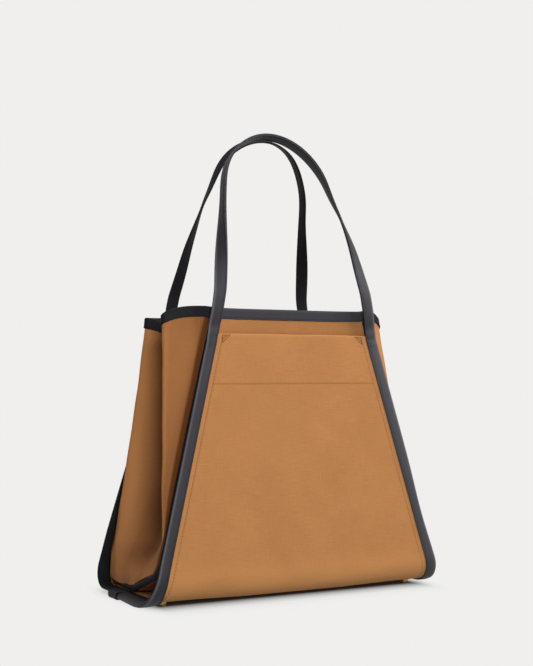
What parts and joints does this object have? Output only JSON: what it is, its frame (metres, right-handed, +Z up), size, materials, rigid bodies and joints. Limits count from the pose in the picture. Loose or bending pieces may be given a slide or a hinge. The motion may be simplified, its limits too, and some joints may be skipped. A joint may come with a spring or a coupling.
{
  "type": "tote bag",
  "caption": "Open canvas tote with leather-bound edges that run up into shoulder handles, fold-in side gussets, outer slip pockets and small metal feet.",
  "frame": {"origin": "on the floor below the middle of the bag", "axes": "+Z up, -Y out of the front, X across the width"},
  "size_m": [0.4, 0.1804, 0.5702],
  "materials": {
    "canvas": "matt dyed cotton canvas, close plain weave",
    "leather": "smooth black leather, low sheen, painted edges",
    "board": "grey-brown stiffener board",
    "brass": "polished warm brass"
  },
  "bodies": {
    "bag": {"wrap_front": "canvas", "wrap_base": "canvas", "wrap_rear": "canvas", "front_facing": "canvas", "rear_facing": "canvas", "body_floor": "canvas", "front_panel": "canvas", "rear_panel": "canvas", "left_gusset": "canvas", "right_gusset": "canvas", "left_gusset_band": "leather", "right_gusset_band": "leather", "front_rim_binding": "leather", "rear_rim_binding": "leather", "left_rim_binding": "leather", "right_rim_binding": "leather", "front_left_strap": "leather", "front_right_strap": "leather", "rear_left_strap": "leather", "rear_right_strap": "leather", "left_keeper": "leather", "right_keeper": "leather", "base_board": "board", "front_left_foot": "brass", "front_right_foot": "brass", "rear_left_foot": "brass", "rear_right_foot": "brass"},
    "front_strap_handle": {"front_handle": "leather"},
    "rear_strap_handle": {"rear_handle": "leather"}
  },
  "joints": [
    {"name": "front_handle_fold", "type": "hinge", "parent": "bag", "child": "front_strap_handle", "pos_m": [0, -0.06709, 0.31487], "axis": [1, 0, 0], "range_deg": [0, 165]},
    {"name": "rear_handle_fold", "type": "hinge", "parent": "bag", "child": "rear_strap_handle", "pos_m": [0, 0.06709, 0.31487], "axis": [-1, 0, 0], "range_deg": [0, 165]}
  ]
}
